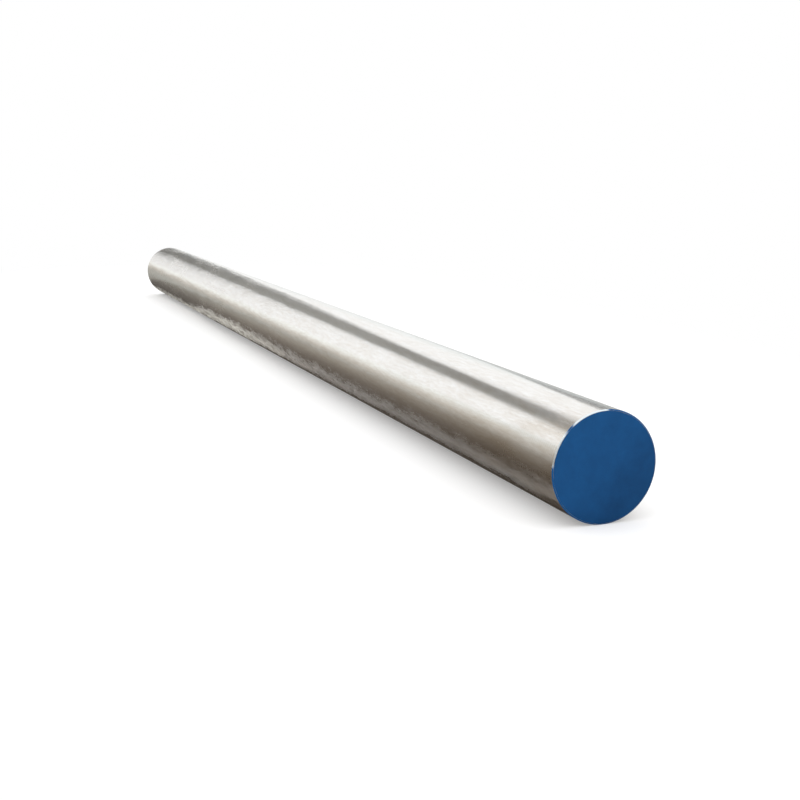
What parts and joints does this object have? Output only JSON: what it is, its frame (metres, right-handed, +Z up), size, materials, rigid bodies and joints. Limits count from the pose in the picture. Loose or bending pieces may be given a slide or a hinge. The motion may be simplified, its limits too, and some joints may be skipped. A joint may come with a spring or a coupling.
{
  "type": "steel bar",
  "caption": "Straight round solid bar of bright turned steel, sawn square and lightly chamfered at both ends, with one end face painted blue as a grade mark.",
  "frame": {"origin": "on the floor, under the middle of the bar as it lies", "axes": "+X along the bar, towards its painted end; +Z up; +Y across the bar"},
  "size_m": [3, 0.16, 0.1596],
  "materials": {
    "turned_steel": "peeled and polished, with fine feed marks round the bar",
    "end_paint": "matt blue marking paint on one sawn end face"
  },
  "bodies": {
    "root": {"round_bar": "turned_steel"}
  },
  "joints": []
}
